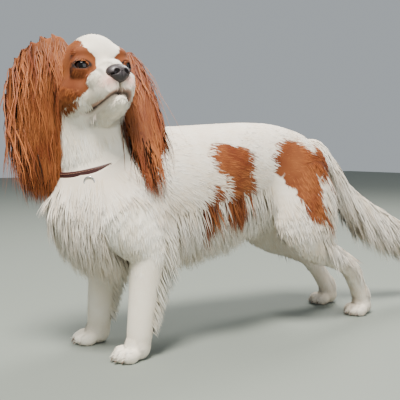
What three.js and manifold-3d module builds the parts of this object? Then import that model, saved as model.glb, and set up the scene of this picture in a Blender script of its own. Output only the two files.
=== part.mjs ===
// A life-size standing cavalier king charles spaniel, its head raised and turned to its left.
// Millimetres, +Z up. The dog faces -Y, its left side is +X, and its paws rest on Z = 0.
import * as THREE from "three";
import { mergeVertices } from "three/addons/utils/BufferGeometryUtils.js";
import Module from "manifold-3d";

const wasm = await Module();
wasm.setup();
const { Manifold, Mesh: SolidMesh } = wasm;

// Driving sizes
const gap = 0.35; // air between two nodes that touch
const rootDepth = 7; // how far a lock's root is sunk in its node
const eyeRadius = 10.5;
const headPlace = { at: [11, -63, 367], turn: 96, lift: 14, tilt: 4, scale: 1.02 };
const collarWidth = 15;
const collarThickness = 3.2;

// Trunk sections from chest to buttocks: back line, belly line and half width at each Y
const trunkSections = [
  { y: -113, top: 218, bottom: 186, half: 15 },
  { y: -105, top: 234, bottom: 166, half: 36 },
  { y: -85, top: 250, bottom: 146, half: 54 },
  { y: -55, top: 271, bottom: 136, half: 67 },
  { y: -20, top: 293, bottom: 135, half: 75 },
  { y: 25, top: 307, bottom: 137, half: 80 },
  { y: 80, top: 312, bottom: 142, half: 83 },
  { y: 135, top: 316, bottom: 152, half: 80 },
  { y: 185, top: 319, bottom: 168, half: 70 },
  { y: 235, top: 317, bottom: 180, half: 64 },
  { y: 275, top: 308, bottom: 186, half: 60 },
  { y: 305, top: 293, bottom: 194, half: 52 },
  { y: 326, top: 274, bottom: 208, half: 38 },
  { y: 336, top: 256, bottom: 226, half: 18 },
];
const chestCut = 10; // the planes across Y that part chest, barrel and rump
const rumpCut = 205;

// Limbs and neck: centre, half size across the body, half size along it
const neckRows = [
  [0, -26, 205, 46, 50],
  [0, -34, 235, 54, 62],
  [3, -46, 272, 50, 58],
  [8, -55, 308, 44, 50],
  [14, -62, 340, 40, 43],
  [18, -66, 366, 34, 34],
];
const forelegLeft = [
  [44, -40, 215, 14, 22],
  [52, -36, 200, 25, 36],
  [57, -16, 172, 29, 39],
  [59, 0, 145, 25, 31],
  [59, -4, 115, 22, 25],
  [59, -8, 80, 20, 22],
  [59, -12, 50, 19, 20],
  [58, -14, 28, 18, 18],
  [58, -15, 15, 13, 13],
];
const forelegRight = [
  [-44, -46, 215, 14, 22],
  [-50, -44, 200, 25, 36],
  [-50, -28, 172, 29, 39],
  [-47, -16, 145, 25, 31],
  [-44, -22, 115, 22, 25],
  [-41, -28, 80, 20, 22],
  [-39, -32, 50, 19, 20],
  [-38, -34, 28, 18, 18],
  [-38, -35, 15, 13, 13],
];
const thighLeft = [
  [36, 262, 262, 14, 22],
  [41, 264, 242, 26, 44],
  [49, 264, 205, 31, 56],
  [56, 260, 170, 29, 50],
  [59, 268, 145, 24, 36],
  [57, 286, 128, 19, 25],
  [56, 298, 120, 12, 17],
];
const shankLeft = [
  [57, 276, 136, 12, 16],
  [56, 292, 126, 18, 24],
  [54, 322, 110, 17, 20],
  [51, 350, 96, 16, 17],
  [49, 370, 80, 15, 16],
  [45, 386, 58, 15, 15],
  [42, 400, 36, 16, 16],
  [41, 406, 20, 13, 13],
];
const pawPlaces = {
  forepaw_left: { at: [58, -20], turn: 6, width: 1 },
  forepaw_right: { at: [-38, -40], turn: -4, width: 1 },
  hindpaw_left: { at: [40, 404], turn: 8, width: 0.94 },
  hindpaw_right: { at: [-46, 404], turn: -8, width: 0.94 },
};
const tailRows = [
  [0, 318, 286, 9, 9],
  [0, 334, 279, 13, 13],
  [1, 362, 252, 12, 12],
  [3, 388, 220, 10, 10],
  [6, 424, 192, 9, 9],
  [9, 470, 168, 8, 8],
  [12, 512, 148, 6, 6],
  [13, 528, 141, 2, 2],
];

// Ear leathers: centre line, half width and half thickness, with the way their width runs
const earLeft = {
  rows: [
    [6, -27, 404, 9, 4],
    [16, -15, 399, 16, 5],
    [30, -8, 376, 21, 4.5],
    [43, -7, 344, 23, 4],
    [53, -8, 315, 20, 3.5],
    [60, -10, 296, 8, 2.5],
  ],
  across: [0.2, 0.98, 0],
  fall: [0.12, -0.04, -1],
};
const earRight = {
  rows: [
    [18, -97, 408, 9, 4],
    [11, -110, 404, 24, 5],
    [3, -121, 378, 41, 4.5],
    [-5, -126, 343, 47, 4],
    [-6, -122, 312, 40, 3.5],
    [-6, -118, 292, 18, 2.5],
  ],
  across: [0.5, 0.866, 0],
  fall: [0.02, 0.1, -1],
};

// Masses of the head in its own frame: nose towards -Y, left +X. Sides are mirrored.
const headMasses = [
  { at: [0, 4, 10], half: [43, 49, 41], blend: 6 }, // cranium
  { at: [0, -29, 19], half: [33, 26, 29], blend: 14 }, // forehead
  { at: [23, -42, 17], half: [14, 12, 9], blend: 8 }, // brow
  { at: [25, -39, -1], half: [15, 12, 14], blend: 8 }, // rim of the eye socket
  { at: [27, -14, -26], half: [22, 33, 25], blend: 12 }, // cheek
  { at: [17, -57, -22], half: [14, 17, 14], blend: 10 }, // cushion under the eye
  { at: [0, -60, -8], half: [14, 18, 12.5], blend: 10 }, // bridge of the nose
  { at: [10.5, -64, -32], half: [14.5, 17, 15], blend: 8 }, // upper lip
  { at: [17, -44, -37], half: [12, 24, 13], blend: 8 }, // lip back to the corner of the mouth
  { at: [0, -36, -38], half: [20, 30, 16], blend: 10 }, // floor of the mouth
  { at: [0, 2, -46], half: [32, 34, 28], blend: 12 }, // throat
];
const jawRows = [
  [0, 14, -50, 20, 12],
  [0, -6, -54, 24, 13],
  [0, -28, -54, 23, 12.5],
  [0, -46, -53.5, 19, 11.5],
  [0, -59, -52.5, 14, 10],
  [0, -68, -51, 9, 7.5],
  [0, -72, -50, 4, 4],
];
const eyePlace = { at: [26.5, -40.5, 1], outward: 28 };
const eyeOpening = { wide: 8.2, high: 6.2, lid: 2.4 };
const nosePlace = { at: [0, -77, -20], half: [15, 9.5, 11] };

// A repeatable stream of numbers between -1 and 1
function shaker(seed) {
  let state = seed;
  return () => {
    state = (state + 0x6d2b79f5) | 0;
    let t = Math.imul(state ^ (state >>> 15), 1 | state);
    t = (t + Math.imul(t ^ (t >>> 7), 61 | t)) ^ t;
    return (((t ^ (t >>> 14)) >>> 0) / 4294967296) * 2 - 1;
  };
}

const vec = (list) => new THREE.Vector3(...list);

// A smooth value between the rows of a table, t from 0 to 1
function along(rows, t) {
  const at = THREE.MathUtils.clamp(t, 0, 1) * (rows.length - 1);
  const i = Math.min(Math.floor(at), rows.length - 2);
  const s = at - i;
  const row = (k) => rows[THREE.MathUtils.clamp(k, 0, rows.length - 1)];
  return row(i).map((b, n) => {
    const [a, c, d] = [row(i - 1)[n], row(i + 1)[n], row(i + 2)[n]];
    return b + 0.5 * s * (c - a + s * (2 * a - 5 * b + 4 * c - d + s * (3 * (b - c) + d - a)));
  });
}

// Centre, axes and half sizes of a limb's section at t
function sectionAt(rows, t, across) {
  const [x, y, z, half, depth] = along(rows, t);
  const step = 0.02;
  const before = vec(along(rows, t - step).slice(0, 3));
  const after = vec(along(rows, t + step).slice(0, 3));
  const tangent = after.sub(before).normalize();
  const side = across.clone().addScaledVector(tangent, -across.dot(tangent)).normalize();
  const deep = new THREE.Vector3().crossVectors(tangent, side);
  return { centre: new THREE.Vector3(x, y, z), tangent, side, deep, half, depth };
}

// A closed skin over rings of points, with a point at each end
function skinOver(rings, first, last) {
  const sides = rings[0].length;
  const points = [first, ...rings.flat(), last];
  const at = (ring, j) => 1 + ring * sides + (j % sides);
  const faces = [];
  for (let j = 0; j < sides; j++) {
    faces.push(0, at(0, j + 1), at(0, j));
    for (let i = 0; i + 1 < rings.length; i++) {
      faces.push(at(i, j), at(i, j + 1), at(i + 1, j + 1));
      faces.push(at(i, j), at(i + 1, j + 1), at(i + 1, j));
    }
    faces.push(points.length - 1, at(rings.length - 1, j), at(rings.length - 1, j + 1));
  }
  return new THREE.BufferGeometry().setFromPoints(points).setIndex(faces);
}

// A limb: oval sections along a table of rows, drawn out by grow on every side
function limb(rows, { sides, rings, across = [1, 0, 0], grow = 0, cup = 0 }) {
  const loops = [];
  for (let i = 0; i < rings; i++) {
    const cut = sectionAt(rows, i / (rings - 1), vec(across));
    loops.push(
      Array.from({ length: sides }, (_, j) => {
        const angle = (2 * Math.PI * j) / sides;
        const u = Math.cos(angle);
        const bowl = cup * cut.half * u * u;
        return cut.centre
          .clone()
          .addScaledVector(cut.side, u * (cut.half + grow))
          .addScaledVector(cut.deep, Math.sin(angle) * (cut.depth + grow) + bowl);
      }),
    );
  }
  const [a, b] = [sectionAt(rows, 0, vec(across)), sectionAt(rows, 1, vec(across))];
  const first = a.centre.addScaledVector(a.tangent, -grow - a.depth / 3);
  const last = b.centre.addScaledVector(b.tangent, grow + b.depth / 3);
  return skinOver(loops, first, last);
}

function solidOf(geometry) {
  const bare = geometry.clone();
  bare.deleteAttribute("normal");
  bare.deleteAttribute("uv");
  const merged = mergeVertices(bare, 1e-4);
  return new Manifold(
    new SolidMesh({
      numProp: 3,
      vertProperties: Float32Array.from(merged.attributes.position.array),
      triVerts: Uint32Array.from(merged.index.array),
    }),
  );
}

// The largest closed body of a solid
function largest(solid) {
  return solid.decompose().reduce((a, b) => (a.volume() > b.volume() ? a : b));
}

const join = (solids) => Manifold.union(solids);

function egg(at, half, sides = 14, rings = 9) {
  const shape = new THREE.SphereGeometry(1, sides, rings);
  return solidOf(shape.scale(...half).translate(...at));
}

// Head

const headMatrix = new THREE.Matrix4()
  .makeTranslation(...headPlace.at)
  .multiply(new THREE.Matrix4().makeRotationZ(THREE.MathUtils.degToRad(headPlace.turn)))
  .multiply(new THREE.Matrix4().makeRotationX(THREE.MathUtils.degToRad(-headPlace.lift)))
  .multiply(new THREE.Matrix4().makeRotationY(THREE.MathUtils.degToRad(-headPlace.tilt)))
  .scale(new THREE.Vector3(1, 1, 1).multiplyScalar(headPlace.scale));

const headSolid = (geometry) => solidOf(geometry.applyMatrix4(headMatrix));

// Distance, near enough, from a point to the head's surface: negative inside
function headDistance(p) {
  let distance = Infinity;
  for (const { at, half, blend } of headMasses) {
    const q = new THREE.Vector3(Math.abs(p.x) - at[0], p.y - at[1], p.z - at[2]);
    const k0 = Math.hypot(q.x / half[0], q.y / half[1], q.z / half[2]);
    const k1 = Math.hypot(q.x / half[0] ** 2, q.y / half[1] ** 2, q.z / half[2] ** 2);
    const d = k0 < 1e-6 ? -Math.min(...half) : (k0 * (k0 - 1)) / k1;
    const h = Math.max(blend - Math.abs(distance - d), 0) / blend;
    distance = distance === Infinity ? d : Math.min(distance, d) - (h * h * blend) / 4;
  }
  return distance;
}

// A sphere's points moved out along their rays to the head's surface, closer set on the muzzle
function headShell(grow) {
  const heart = new THREE.Vector3(0, -14, -8);
  const [sides, rings, crowding] = [26, 19, 1.2];
  const reach = (direction) => {
    let [near, far] = [10, 120];
    for (let step = 0; step < 30; step++) {
      const middle = (near + far) / 2;
      const p = heart.clone().addScaledVector(direction, middle);
      if (headDistance(p) < 0) near = middle;
      else far = middle;
    }
    return heart.clone().addScaledVector(direction, near + grow);
  };
  const loops = [];
  for (let i = 1; i < rings; i++) {
    const polar = Math.PI * (i / rings) ** crowding;
    loops.push(
      Array.from({ length: sides }, (_, j) => {
        const round = (2 * Math.PI * (j + 0.5)) / sides;
        const flat = Math.sin(polar);
        return reach(new THREE.Vector3(Math.cos(round) * flat, -Math.cos(polar), -Math.sin(round) * flat));
      }),
    );
  }
  return skinOver(loops, reach(new THREE.Vector3(0, -1, 0)), reach(new THREE.Vector3(0, 1, 0)));
}

// The eye's own frame: its pupil looks along -Y
const eyeFrame = (side) =>
  new THREE.Matrix4()
    .makeTranslation(side * eyePlace.at[0], eyePlace.at[1], eyePlace.at[2])
    .multiply(new THREE.Matrix4().makeRotationZ(THREE.MathUtils.degToRad(side * eyePlace.outward)));

const eyeball = (side, grow) =>
  headSolid(new THREE.SphereGeometry(eyeRadius + grow, 14, 9).applyMatrix4(eyeFrame(side)));

// Both lids as one almond-shaped rim that lies on the eyeball
function lids(side) {
  const [turns, sides] = [16, 4];
  const rim = new THREE.TorusGeometry(1, 0.2, sides, turns);
  const place = rim.attributes.position;
  for (let i = 0; i <= sides; i++)
    for (let j = 0; j <= turns; j++) {
      const round = (2 * Math.PI * j) / turns;
      const tube = (2 * Math.PI * i) / sides;
      const x = eyeOpening.wide * Math.cos(round) * 1.1;
      const z = eyeOpening.high * Math.sin(round) * (Math.sin(round) > 0 ? 1 : 0.9);
      const rest = Math.sqrt((eyeRadius + gap + 0.6) ** 2 - Math.min(x * x + z * z, 95));
      const centre = new THREE.Vector3(x, -rest, z);
      const out = centre.clone().normalize();
      const wide = new THREE.Vector3(x, 0, z).normalize();
      centre.addScaledVector(out, eyeOpening.lid * 0.75 * Math.sin(tube));
      centre.addScaledVector(wide, eyeOpening.lid * 1.3 * (1 + Math.cos(tube)));
      place.setXYZ(i * (turns + 1) + j, ...centre.toArray());
    }
  return headSolid(rim.applyMatrix4(eyeFrame(side)));
}

function makeHead(grow) {
  const pieces = [headSolid(headShell(grow))];
  if (!grow) pieces.push(lids(1), lids(-1));
  return join(pieces);
}

const makeJaw = (grow) => headSolid(limb(jawRows, { sides: 12, rings: 9, grow }));

function makeNose(grow) {
  const leather = new THREE.SphereGeometry(1, 14, 8);
  const place = leather.attributes.position;
  const p = new THREE.Vector3();
  for (let i = 0; i < place.count; i++) {
    p.fromBufferAttribute(place, i);
    const narrow = 1 - 0.32 * THREE.MathUtils.clamp(-p.z, 0, 1); // tapers to the lip
    p.set(p.x * (nosePlace.half[0] + grow) * narrow, p.y * (nosePlace.half[1] + grow), p.z * (nosePlace.half[2] + grow));
    place.setXYZ(i, p.x, p.y + nosePlace.at[1], p.z + nosePlace.at[2]);
  }
  return headSolid(leather);
}

function nostrils() {
  const holes = [];
  for (const side of [-1, 1]) {
    const hole = new THREE.SphereGeometry(1, 7, 4).scale(3, 5, 2.8).translate(side * 5.6, -84, -20.5);
    const slit = new THREE.SphereGeometry(1, 7, 4).scale(4.2, 5, 1.3).rotateY(side * 0.35);
    holes.push(headSolid(hole), headSolid(slit.translate(side * 9, -81, -23)));
  }
  return join(holes);
}

// Locks

// One flat lock that leaves its root along start and ends along fall
function lock({ root, start, fall, length, width, across, thick = 5, turn = 0.45 }) {
  const foot = root.clone().addScaledVector(start, -rootDepth);
  const bend = root.clone().addScaledVector(start, length * turn);
  const tip = bend.clone().addScaledVector(fall, length * (1 - turn));
  const curve = new THREE.QuadraticBezierCurve3(foot, bend, tip);
  const profile = [
    [0, 0.8],
    [0.42, 1],
    [0.78, 0.66],
  ];
  const rings = profile.map(([t, wide]) => {
    const tangent = curve.getTangent(t);
    const side = across.clone().addScaledVector(tangent, -across.dot(tangent)).normalize();
    const deep = new THREE.Vector3().crossVectors(tangent, side);
    const centre = curve.getPoint(t);
    const ways = [side.multiplyScalar((width * wide) / 2), deep.multiplyScalar((thick * wide) / 2)];
    return [1, 1, -1, -1].map((sign, k) => centre.clone().addScaledVector(ways[k % 2], sign));
  });
  return solidOf(skinOver(rings, foot.clone().addScaledVector(start, -1), tip));
}

// Tiers of locks round part of a limb: over and round say how much of its length and turn
function tiers(rows, coat, grow = 0) {
  const { over, round, count, length, fall, lean = 0.35, width, flat, spread = 0.12, across = [1, 0, 0] } = coat;
  const shake = shaker(coat.seed);
  const { lerp } = THREE.MathUtils;
  const locks = [];
  for (let i = 0; i < count[0]; i++)
    for (let j = 0; j < count[1]; j++) {
      const down = (i + 0.5 + 0.25 * shake()) / count[0];
      const about = (j + 0.5 + (i % 2 ? 0.22 : -0.22) + 0.1 * shake()) / count[1];
      const angle = Math.PI * lerp(round[0], round[1], about);
      const cut = sectionAt(rows, lerp(over[0], over[1], down), vec(across));
      const [c, s] = [Math.cos(angle), Math.sin(angle)];
      const root = cut.centre.clone().addScaledVector(cut.side, c * cut.half).addScaledVector(cut.deep, s * cut.depth);
      const normal = cut.side.clone().multiplyScalar(c / cut.half).addScaledVector(cut.deep, s / cut.depth).normalize();
      const way = vec(fall).addScaledVector(cut.side, spread * (c + 0.6 * shake())).normalize();
      const start = way.clone().lerp(normal, lean).normalize();
      locks.push(
        lock({
          root,
          start,
          fall: way,
          length: lerp(length[0], length[1], down) * (1 + 0.13 * shake()) + grow,
          width: width * (1 + 0.2 * shake()) + 2 * grow,
          thick: 5 + 2 * grow,
          across: flat ? vec(flat) : new THREE.Vector3().crossVectors(normal, way),
        }),
      );
    }
  return join(locks);
}

const chestCoat = { over: [0.05, 0.27], round: [0.12, 0.88], count: [3, 6], length: [54, 66], fall: [0, 0.05, -1], lean: 0.4, width: 24, seed: 3 };
const bellyCoat = { over: [0.4, 0.62], round: [0.27, 0.73], count: [6, 3], length: [46, 36], fall: [0, 0.3, -1], lean: 0.3, width: 22, flat: [0.25, 1, 0], seed: 5 };
const featherCoat = { over: [0.3, 0.72], round: [-0.64, -0.36], count: [5, 2], length: [44, 28], fall: [0, 0.5, -0.85], width: 17, flat: [0, 0.85, 0.5], seed: 7 };
const breechCoat = { over: [0.2, 0.86], round: [-0.7, -0.3], count: [4, 2], length: [54, 46], fall: [0, 0.42, -0.9], width: 20, flat: [0, 0.9, 0.42], seed: 11 };
const tailCoat = { over: [0.16, 1], round: [0.22, 0.78], count: [9, 2], length: [108, 98], fall: [0, 0.42, -0.9], width: 24, flat: [0, 0.83, 0.55], spread: 0.1, seed: 13 };
const earCoats = [
  { over: [0.06, 0.95], round: [0.1, 0.9], count: [3, 4], length: [92, 84], lean: 0.22, width: 21, seed: 17 },
  { over: [0.2, 0.95], round: [-0.85, -0.15], count: [2, 3], length: [88, 78], lean: 0.22, width: 21, seed: 19 },
];

// Ear: a thin cupped leather with tiers of locks on both faces
function ear({ rows, across, fall }) {
  const leather = solidOf(limb(rows, { sides: 12, rings: 9, across, cup: -0.2 }));
  return join([leather, ...earCoats.map((coat) => tiers(rows, { ...coat, across, fall }))]);
}

// Trunk

const trunkRows = trunkSections.map(({ y, top, bottom, half }) => [
  0,
  y,
  (top + bottom) / 2,
  half,
  (top - bottom) / 2,
]);

// Trunk sections stand upright, so the back and belly lines come out as they are given
function trunk(grow = 0) {
  const [sides, rings, full] = [20, 20, 0.86];
  const bulge = (c) => Math.sign(c) * Math.abs(c) ** full;
  const loops = [];
  for (let i = 0; i < rings; i++) {
    const [x, y, z, half, depth] = along(trunkRows, i / (rings - 1));
    loops.push(
      Array.from({ length: sides }, (_, j) => {
        const angle = (-2 * Math.PI * j) / sides;
        return new THREE.Vector3(
          x + bulge(Math.cos(angle)) * (half + grow),
          y,
          z + bulge(Math.sin(angle)) * (depth + grow),
        );
      }),
    );
  }
  const [front, back] = [trunkRows[0], trunkRows.at(-1)];
  const end = (row, way) => new THREE.Vector3(row[0], row[1] + way * (3 + grow), row[2]);
  return solidOf(skinOver(loops, end(front, -1), end(back, 1)));
}

// The slice of a solid between two planes across Y
const slice = (solid, from, to) => solid.trimByPlane([0, 1, 0], from).trimByPlane([0, -1, 0], -to);

// Limbs

const mirrored = (rows) => rows.map(([x, ...rest]) => [-x, ...rest]);
const thighRight = mirrored(thighLeft);
const shankRight = mirrored(shankLeft);

const legOptions = { sides: 12, rings: 10 };
const wideOptions = { sides: 14, rings: 10 };

// A paw: its body, four toes and their claws, cut flat where it stands
function paw({ at, turn, width }, grow = 0) {
  const pieces = [egg([0, 2, 13], [17 * width + grow, 19 + grow, 15 + grow], 10, 7)];
  const toes = [
    [-13.5, -13, 6.2],
    [-5, -19, 6.8],
    [5, -19, 6.8],
    [13.5, -13, 6.2],
  ];
  for (const [x, y, half] of toes) {
    pieces.push(egg([x * width, y, 8], [half + grow, 12 + grow, 9.5 + grow], 6, 5));
    const claw = new THREE.ConeGeometry(2.1, 9, 3).rotateX(Math.PI / 2 + 0.35);
    pieces.push(solidOf(claw.translate(x * width, y - 13, 6)));
  }
  const floor = join(pieces).trimByPlane([0, 0, 1], 0);
  return floor.rotate([0, 0, turn]).translate([...at, 0]);
}

// Collar: a band that follows the neck's section, with its ring and tag

const collarAt = 0.33;
function collarBand(inner, outer, halfWidth) {
  const turns = 28;
  const stations = [
    [-halfWidth, inner],
    [halfWidth, inner],
    [halfWidth, outer],
    [-halfWidth, outer],
  ];
  const cut = sectionAt(neckRows, collarAt, new THREE.Vector3(1, 0, 0));
  const points = [];
  const faces = [];
  const step = 0.05;
  const [low, high] = [-step, step].map((d) => sectionAt(neckRows, collarAt + d, new THREE.Vector3(1, 0, 0)));
  const span = high.centre.distanceTo(low.centre);
  for (let i = 0; i < turns; i++) {
    const angle = (2 * Math.PI * i) / turns;
    for (const [rise, out] of stations) {
      const half = cut.half + ((high.half - low.half) * rise) / span + out;
      const depth = cut.depth + ((high.depth - low.depth) * rise) / span + out;
      points.push(
        cut.centre
          .clone()
          .addScaledVector(cut.tangent, rise)
          .addScaledVector(cut.side, Math.cos(angle) * half)
          .addScaledVector(cut.deep, Math.sin(angle) * depth),
      );
    }
    for (let k = 0; k < 4; k++) {
      const [a, b] = [i * 4 + k, i * 4 + ((k + 1) % 4)];
      const [c, d] = [((i + 1) % turns) * 4 + k, ((i + 1) % turns) * 4 + ((k + 1) % 4)];
      faces.push(a, b, d, a, d, c);
    }
  }
  return solidOf(new THREE.BufferGeometry().setFromPoints(points).setIndex(faces));
}

const ringAngle = -Math.PI / 2 + 0.95; // where the ring hangs on the collar, at the throat's left
function collarPoint(angle, out, rise) {
  const cut = sectionAt(neckRows, collarAt, new THREE.Vector3(1, 0, 0));
  return cut.centre
    .clone()
    .addScaledVector(cut.tangent, rise)
    .addScaledVector(cut.side, Math.cos(angle) * (cut.half + out))
    .addScaledVector(cut.deep, Math.sin(angle) * (cut.depth + out));
}

function collarRing() {
  const at = collarPoint(ringAngle, collarThickness + 3.2, -2);
  const facing = collarPoint(ringAngle, 20, 0).sub(collarPoint(ringAngle, 0, 0));
  const ring = new THREE.TorusGeometry(6.5, 1.1, 6, 16);
  ring.lookAt(new THREE.Vector3(facing.x, facing.y, 0));
  return solidOf(ring.translate(at.x, at.y, at.z - 6));
}

// Materials

const coat = (color) => new THREE.MeshStandardMaterial({ color, roughness: 0.8, metalness: 0 });
const materials = {
  white: coat(0xf0e9dc),
  chestnut: coat(0xa35f30),
  leather: new THREE.MeshStandardMaterial({ color: 0x2a1512, roughness: 0.5, metalness: 0 }),
  noseLeather: new THREE.MeshStandardMaterial({ color: 0x2b2224, roughness: 0.35, metalness: 0 }),
  eye: new THREE.MeshStandardMaterial({ color: 0x120b08, roughness: 0.05, metalness: 0 }),
  steel: new THREE.MeshStandardMaterial({ color: 0xc9c9cc, roughness: 0.25, metalness: 1 }),
};

const dog = new THREE.Group();

function addNode(name, material, solid) {
  const { vertProperties, triVerts, numProp } = largest(solid).getMesh();
  const geometry = new THREE.BufferGeometry();
  geometry.setAttribute("position", new THREE.BufferAttribute(vertProperties, numProp));
  geometry.setIndex(new THREE.BufferAttribute(triVerts, 1));
  geometry.computeVertexNormals();
  const mesh = new THREE.Mesh(geometry, materials[material]);
  mesh.name = name;
  dog.add(mesh);
}

// Every flesh piece in two sizes: as it is, and grown by the gap to cut its neighbours
const sized = (make) => ({ own: make(0), grown: make(gap) });
const body = {
  trunk: sized(trunk),
  neck: sized((grow) => solidOf(limb(neckRows, { sides: 16, rings: 8, grow }))),
  head: sized(makeHead),
  jaw: sized(makeJaw),
  forelegLeft: sized((grow) => solidOf(limb(forelegLeft, { ...legOptions, grow }))),
  forelegRight: sized((grow) => solidOf(limb(forelegRight, { ...legOptions, grow }))),
  thighLeft: sized((grow) => solidOf(limb(thighLeft, { ...wideOptions, grow }))),
  thighRight: sized((grow) => solidOf(limb(thighRight, { ...wideOptions, grow }))),
  shankLeft: sized((grow) => solidOf(limb(shankLeft, { ...legOptions, grow }))),
  shankRight: sized((grow) => solidOf(limb(shankRight, { ...legOptions, grow }))),
  tail: sized((grow) => solidOf(limb(tailRows, { sides: 12, rings: 11, grow }))),
};

// The locks of each piece, also in two sizes
const coats = {
  chest: sized((grow) => tiers(trunkRows, chestCoat, grow)),
  belly: sized((grow) => tiers(trunkRows, bellyCoat, grow)),
  featherLeft: sized((grow) => tiers(forelegLeft, featherCoat, grow)),
  featherRight: sized((grow) => tiers(forelegRight, featherCoat, grow)),
  breechLeft: sized((grow) => tiers(thighLeft, breechCoat, grow)),
  breechRight: sized((grow) => tiers(thighRight, breechCoat, grow)),
  tail: sized((grow) => tiers(tailRows, tailCoat, grow)),
};

const minus = (solid, ...others) => others.reduce((a, b) => a.subtract(b), solid);
const below = (solid, z) => solid.trimByPlane([0, 0, -1], -z);
const above = (solid, z) => solid.trimByPlane([0, 0, 1], z);

const collarRoom = collarBand(-4, 2 * gap + collarThickness, collarWidth / 2 + gap);
const earRoom = [body.head.grown, body.jaw.grown, body.neck.grown, body.trunk.grown, collarRoom];
const forelegs = ["Left", "Right"].flatMap((side) => [body["foreleg" + side].grown, coats["feather" + side].grown]);
const thighs = ["Left", "Right"].flatMap((side) => [body["thigh" + side].grown, coats["breech" + side].grown]);
const chestRoom = slice(body.trunk.grown, -200, chestCut + gap / 2);
const barrelRoom = slice(body.trunk.grown, chestCut - gap / 2, rumpCut + gap / 2);
const chestLocks = minus(coats.chest.own, ...forelegs, barrelRoom, collarRoom, body.neck.grown);
const bellyLocks = minus(coats.belly.own, ...forelegs, ...thighs, chestRoom, coats.chest.grown);
const tailLocks = minus(coats.tail.own, ...thighs, body.shankLeft.grown, body.shankRight.grown);
addNode("chest", "white", join([slice(body.trunk.own, -200, chestCut - gap / 2), chestLocks]));
addNode("barrel", "white", join([slice(body.trunk.own, chestCut + gap / 2, rumpCut - gap / 2), bellyLocks]));
addNode("rump", "white", slice(body.trunk.own, rumpCut + gap / 2, 400));
addNode("neck", "white", minus(body.neck.own, body.trunk.grown, body.head.grown, body.jaw.grown));
addNode("head", "chestnut", minus(body.head.own, eyeball(1, gap), eyeball(-1, gap)));
addNode("jaw", "white", minus(body.jaw.own, body.head.grown));
addNode("nose", "noseLeather", minus(makeNose(0), body.head.grown, nostrils()));
addNode("eye_left", "eye", eyeball(1, 0));
addNode("eye_right", "eye", eyeball(-1, 0));
addNode("ear_left", "chestnut", minus(ear(earLeft), ...earRoom));
addNode("ear_right", "chestnut", minus(ear(earRight), ...earRoom));
addNode("tail", "white", minus(join([body.tail.own, tailLocks]), body.trunk.grown));

const fetlock = 30; // height of the cuts between legs and paws
for (const side of ["Left", "Right"]) {
  const end = side.toLowerCase();
  const fore = minus(join([body["foreleg" + side].own, coats["feather" + side].own]), body.trunk.grown);
  const thigh = join([body["thigh" + side].own, coats["breech" + side].own]);
  const shank = minus(body["shank" + side].own, ...thighs, body.trunk.grown);
  addNode("foreleg_" + end, "white", above(fore, fetlock + gap));
  addNode("thigh_" + end, "white", minus(thigh, body.trunk.grown, body.tail.grown));
  addNode("shank_" + end, "white", above(shank, fetlock + gap));
  const foreFoot = join([paw(pawPlaces["forepaw_" + end]), body["foreleg" + side].own]);
  const hindFoot = join([paw(pawPlaces["hindpaw_" + end]), body["shank" + side].own]);
  addNode("forepaw_" + end, "white", above(below(foreFoot, fetlock), 0));
  addNode("hindpaw_" + end, "white", above(below(hindFoot, fetlock), 0));
}

addNode("collar", "leather", minus(collarBand(gap, gap + collarThickness, collarWidth / 2), body.trunk.grown));
addNode("collar_ring", "steel", minus(collarRing(), body.trunk.grown, body.neck.grown, collarRoom));

// The origin is on the floor, below the middle of the whole
const box = new THREE.Box3().setFromObject(dog);
const middle = box.getCenter(new THREE.Vector3());
dog.position.set(-middle.x, -middle.y, 0);

export default dog;
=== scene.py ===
# Looks of the standing spaniel: skin, coat, eyes, nose, claws, collar, light and camera
import math
import bpy
import numpy as np
import openvdb
from mathutils import Matrix, Vector


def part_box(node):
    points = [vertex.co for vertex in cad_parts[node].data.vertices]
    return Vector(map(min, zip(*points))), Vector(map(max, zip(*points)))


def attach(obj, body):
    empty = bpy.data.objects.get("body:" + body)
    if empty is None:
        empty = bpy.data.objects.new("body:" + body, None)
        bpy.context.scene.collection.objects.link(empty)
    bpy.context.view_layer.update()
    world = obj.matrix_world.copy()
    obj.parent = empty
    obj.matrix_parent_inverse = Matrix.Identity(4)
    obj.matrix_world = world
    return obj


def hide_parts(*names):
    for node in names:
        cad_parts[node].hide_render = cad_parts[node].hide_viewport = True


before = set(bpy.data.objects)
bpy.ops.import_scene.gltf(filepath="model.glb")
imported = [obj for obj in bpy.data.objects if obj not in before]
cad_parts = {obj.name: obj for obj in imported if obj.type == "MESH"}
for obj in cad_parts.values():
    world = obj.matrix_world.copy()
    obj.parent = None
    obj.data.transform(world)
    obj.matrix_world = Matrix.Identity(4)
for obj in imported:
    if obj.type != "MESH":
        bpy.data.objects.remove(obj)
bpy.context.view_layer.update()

mm = 0.001

# the head's own frame, and where the dog's frame lies in the row's
head = {"at": (11, -63, 367), "turn": 96, "lift": 14, "tilt": 4, "scale": 1.02}
eye = {"at": (26.5, -40.5, 1), "outward": 28, "radius": 10.5, "bare": 12.6,
       "wide": 9.8, "high": 4.9}  # half the opening
nose = {"at": (0, -77, -20), "half": (15, 9.5, 11)}
headTurn = (Matrix.Rotation(math.radians(head["turn"]), 3, "Z")
            @ Matrix.Rotation(math.radians(-head["lift"]), 3, "X")
            @ Matrix.Rotation(math.radians(-head["tilt"]), 3, "Y"))
headM = np.array(headTurn) * head["scale"]
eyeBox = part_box("eye_left")
eyeMiddle = (np.array(eyeBox[0]) + np.array(eyeBox[1])) / 2 / mm
shift = eyeMiddle - (headM @ np.array(eye["at"]) + np.array(head["at"]))
headAt = np.array(head["at"]) + shift


def placed(points):  # from the dog's own frame, in mm, to the row's, in m
    return (np.asarray(points, float) + shift) * mm


def fromHead(points):  # from the head's frame, in mm, to the row's, in m
    return (np.asarray(points, float) @ headM.T + headAt) * mm


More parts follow.
